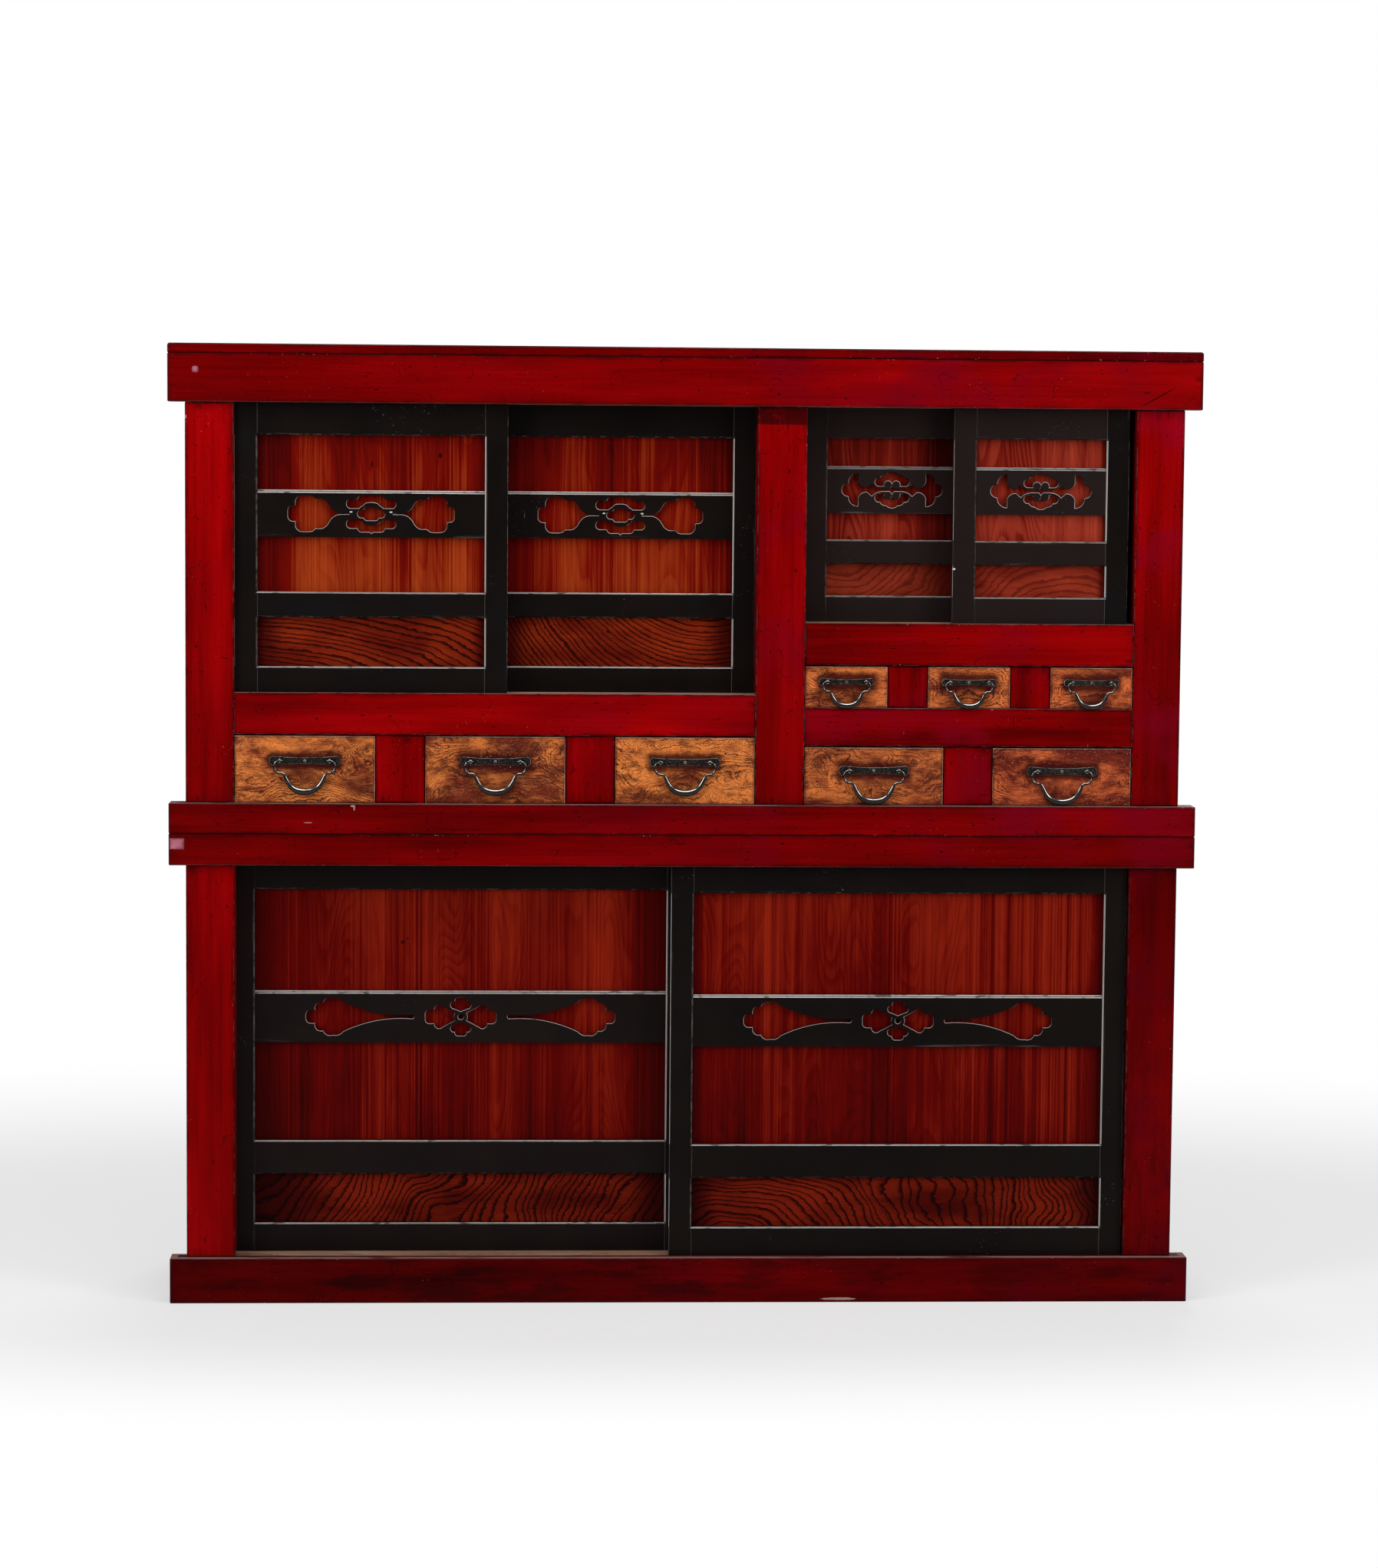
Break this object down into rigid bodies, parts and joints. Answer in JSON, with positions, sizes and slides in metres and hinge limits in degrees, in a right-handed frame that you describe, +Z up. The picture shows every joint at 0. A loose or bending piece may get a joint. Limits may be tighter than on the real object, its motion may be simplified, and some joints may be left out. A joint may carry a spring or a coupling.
{
  "type": "mizuya kitchen cabinet",
  "caption": "Two-part lacquered kitchen chest with proud rails, sliding openwork doors in two tracks and small drawers with iron bail pulls.",
  "frame": {"origin": "on the floor, under the middle of the carcass", "axes": "+X to the right seen from the front, +Y from the front to the back, +Z up"},
  "size_m": [1.8, 0.45, 1.681],
  "materials": {
    "red_lacquer": "semi-gloss red wiping lacquer over wood",
    "black_lacquer": "worn semi-gloss black lacquer over wood",
    "stained_panel": "red-brown stained softwood board, satin",
    "zelkova": "oiled zelkova with bold figure",
    "bare_cedar": "unfinished aged cedar",
    "wrought_iron": "hand-forged blackened iron"
  },
  "bodies": {
    "carcass": {"top_boards": "red_lacquer", "upper_top_rail": "red_lacquer", "upper_front_posts": "red_lacquer", "upper_cross_rails": "red_lacquer", "upper_bottom_rail": "red_lacquer", "drawer_dividers": "red_lacquer", "upper_side_and_rear_frame": "red_lacquer", "upper_wall_boards": "red_lacquer", "lower_top_rail": "red_lacquer", "lower_front_posts": "red_lacquer", "base_rail": "red_lacquer", "lower_side_and_rear_frame": "red_lacquer", "lower_wall_boards": "red_lacquer", "joint_pegs": "red_lacquer", "upper_inner_boards": "bare_cedar", "drawer_guides": "bare_cedar", "lower_inner_boards": "bare_cedar", "door_tracks": "bare_cedar"},
    "upper_left_front_door": {"upper_left_front_door_frame": "black_lacquer", "upper_left_front_door_carved_board": "black_lacquer", "upper_left_front_door_panels": "stained_panel"},
    "upper_left_rear_door": {"upper_left_rear_door_frame": "black_lacquer", "upper_left_rear_door_carved_board": "black_lacquer", "upper_left_rear_door_panels": "stained_panel"},
    "upper_right_rear_door": {"upper_right_rear_door_frame": "black_lacquer", "upper_right_rear_door_carved_board": "black_lacquer", "upper_right_rear_door_panels": "stained_panel"},
    "upper_right_front_door": {"upper_right_front_door_frame": "black_lacquer", "upper_right_front_door_carved_board": "black_lacquer", "upper_right_front_door_panels": "stained_panel"},
    "lower_rear_door": {"lower_rear_door_frame": "black_lacquer", "lower_rear_door_carved_board": "black_lacquer", "lower_rear_door_panels": "stained_panel"},
    "lower_front_door": {"lower_front_door_frame": "black_lacquer", "lower_front_door_carved_board": "black_lacquer", "lower_front_door_panels": "stained_panel"},
    "left_drawer_1": {"left_drawer_1": "zelkova", "left_drawer_1_pull_plate": "wrought_iron"},
    "left_drawer_2": {"left_drawer_2": "zelkova", "left_drawer_2_pull_plate": "wrought_iron"},
    "left_drawer_3": {"left_drawer_3": "zelkova", "left_drawer_3_pull_plate": "wrought_iron"},
    "right_drawer_1": {"right_drawer_1": "zelkova", "right_drawer_1_pull_plate": "wrought_iron"},
    "right_drawer_2": {"right_drawer_2": "zelkova", "right_drawer_2_pull_plate": "wrought_iron"},
    "small_drawer_1": {"small_drawer_1": "zelkova", "small_drawer_1_pull_plate": "wrought_iron"},
    "small_drawer_2": {"small_drawer_2": "zelkova", "small_drawer_2_pull_plate": "wrought_iron"},
    "small_drawer_3": {"small_drawer_3": "zelkova", "small_drawer_3_pull_plate": "wrought_iron"},
    "left_drawer_1_bail": {"left_drawer_1_bail": "wrought_iron"},
    "left_drawer_2_bail": {"left_drawer_2_bail": "wrought_iron"},
    "left_drawer_3_bail": {"left_drawer_3_bail": "wrought_iron"},
    "right_drawer_1_bail": {"right_drawer_1_bail": "wrought_iron"},
    "right_drawer_2_bail": {"right_drawer_2_bail": "wrought_iron"},
    "small_drawer_1_bail": {"small_drawer_1_bail": "wrought_iron"},
    "small_drawer_2_bail": {"small_drawer_2_bail": "wrought_iron"},
    "small_drawer_3_bail": {"small_drawer_3_bail": "wrought_iron"}
  },
  "joints": [
    {"name": "upper_left_front_door_slide", "type": "slide", "parent": "carcass", "child": "upper_left_front_door", "axis": [1, 0, 0], "range_m": [0, 0.435]},
    {"name": "upper_left_rear_door_slide", "type": "slide", "parent": "carcass", "child": "upper_left_rear_door", "axis": [1, 0, 0], "range_m": [-0.435, 0]},
    {"name": "upper_right_rear_door_slide", "type": "slide", "parent": "carcass", "child": "upper_right_rear_door", "axis": [1, 0, 0], "range_m": [0, 0.269]},
    {"name": "upper_right_front_door_slide", "type": "slide", "parent": "carcass", "child": "upper_right_front_door", "axis": [1, 0, 0], "range_m": [-0.258, 0.011]},
    {"name": "lower_rear_door_slide", "type": "slide", "parent": "carcass", "child": "lower_rear_door", "axis": [1, 0, 0], "range_m": [-0.002, 0.785]},
    {"name": "lower_front_door_slide", "type": "slide", "parent": "carcass", "child": "lower_front_door", "axis": [1, 0, 0], "range_m": [-0.765, 0.002]},
    {"name": "left_drawer_1_slide", "type": "slide", "parent": "carcass", "child": "left_drawer_1", "axis": [0, -1, 0], "range_m": [0, 0.3]},
    {"name": "left_drawer_2_slide", "type": "slide", "parent": "carcass", "child": "left_drawer_2", "axis": [0, -1, 0], "range_m": [0, 0.3]},
    {"name": "left_drawer_3_slide", "type": "slide", "parent": "carcass", "child": "left_drawer_3", "axis": [0, -1, 0], "range_m": [0, 0.3]},
    {"name": "right_drawer_1_slide", "type": "slide", "parent": "carcass", "child": "right_drawer_1", "axis": [0, -1, 0], "range_m": [0, 0.3]},
    {"name": "right_drawer_2_slide", "type": "slide", "parent": "carcass", "child": "right_drawer_2", "axis": [0, -1, 0], "range_m": [0, 0.3]},
    {"name": "small_drawer_1_slide", "type": "slide", "parent": "carcass", "child": "small_drawer_1", "axis": [0, -1, 0], "range_m": [0, 0.3]},
    {"name": "small_drawer_2_slide", "type": "slide", "parent": "carcass", "child": "small_drawer_2", "axis": [0, -1, 0], "range_m": [0, 0.3]},
    {"name": "small_drawer_3_slide", "type": "slide", "parent": "carcass", "child": "small_drawer_3", "axis": [0, -1, 0], "range_m": [0, 0.3]},
    {"name": "left_drawer_1_bail_swing", "type": "hinge", "parent": "left_drawer_1", "child": "left_drawer_1_bail", "pos_m": [-0.664, -0.218, 0.958], "axis": [-1, 0, 0], "range_deg": [0, 100]},
    {"name": "left_drawer_2_bail_swing", "type": "hinge", "parent": "left_drawer_2", "child": "left_drawer_2_bail", "pos_m": [-0.332, -0.218, 0.958], "axis": [-1, 0, 0], "range_deg": [0, 100]},
    {"name": "left_drawer_3_bail_swing", "type": "hinge", "parent": "left_drawer_3", "child": "left_drawer_3_bail", "pos_m": [0, -0.218, 0.958], "axis": [-1, 0, 0], "range_deg": [0, 100]},
    {"name": "right_drawer_1_bail_swing", "type": "hinge", "parent": "right_drawer_1", "child": "right_drawer_1_bail", "pos_m": [0.332, -0.218, 0.945], "axis": [-1, 0, 0], "range_deg": [0, 100]},
    {"name": "right_drawer_2_bail_swing", "type": "hinge", "parent": "right_drawer_2", "child": "right_drawer_2_bail", "pos_m": [0.664, -0.218, 0.945], "axis": [-1, 0, 0], "range_deg": [0, 100]},
    {"name": "small_drawer_1_bail_swing", "type": "hinge", "parent": "small_drawer_1", "child": "small_drawer_1_bail", "pos_m": [0.282, -0.218, 1.101], "axis": [-1, 0, 0], "range_deg": [0, 100]},
    {"name": "small_drawer_2_bail_swing", "type": "hinge", "parent": "small_drawer_2", "child": "small_drawer_2_bail", "pos_m": [0.498, -0.218, 1.101], "axis": [-1, 0, 0], "range_deg": [0, 100]},
    {"name": "small_drawer_3_bail_swing", "type": "hinge", "parent": "small_drawer_3", "child": "small_drawer_3_bail", "pos_m": [0.714, -0.218, 1.101], "axis": [-1, 0, 0], "range_deg": [0, 100]}
  ]
}
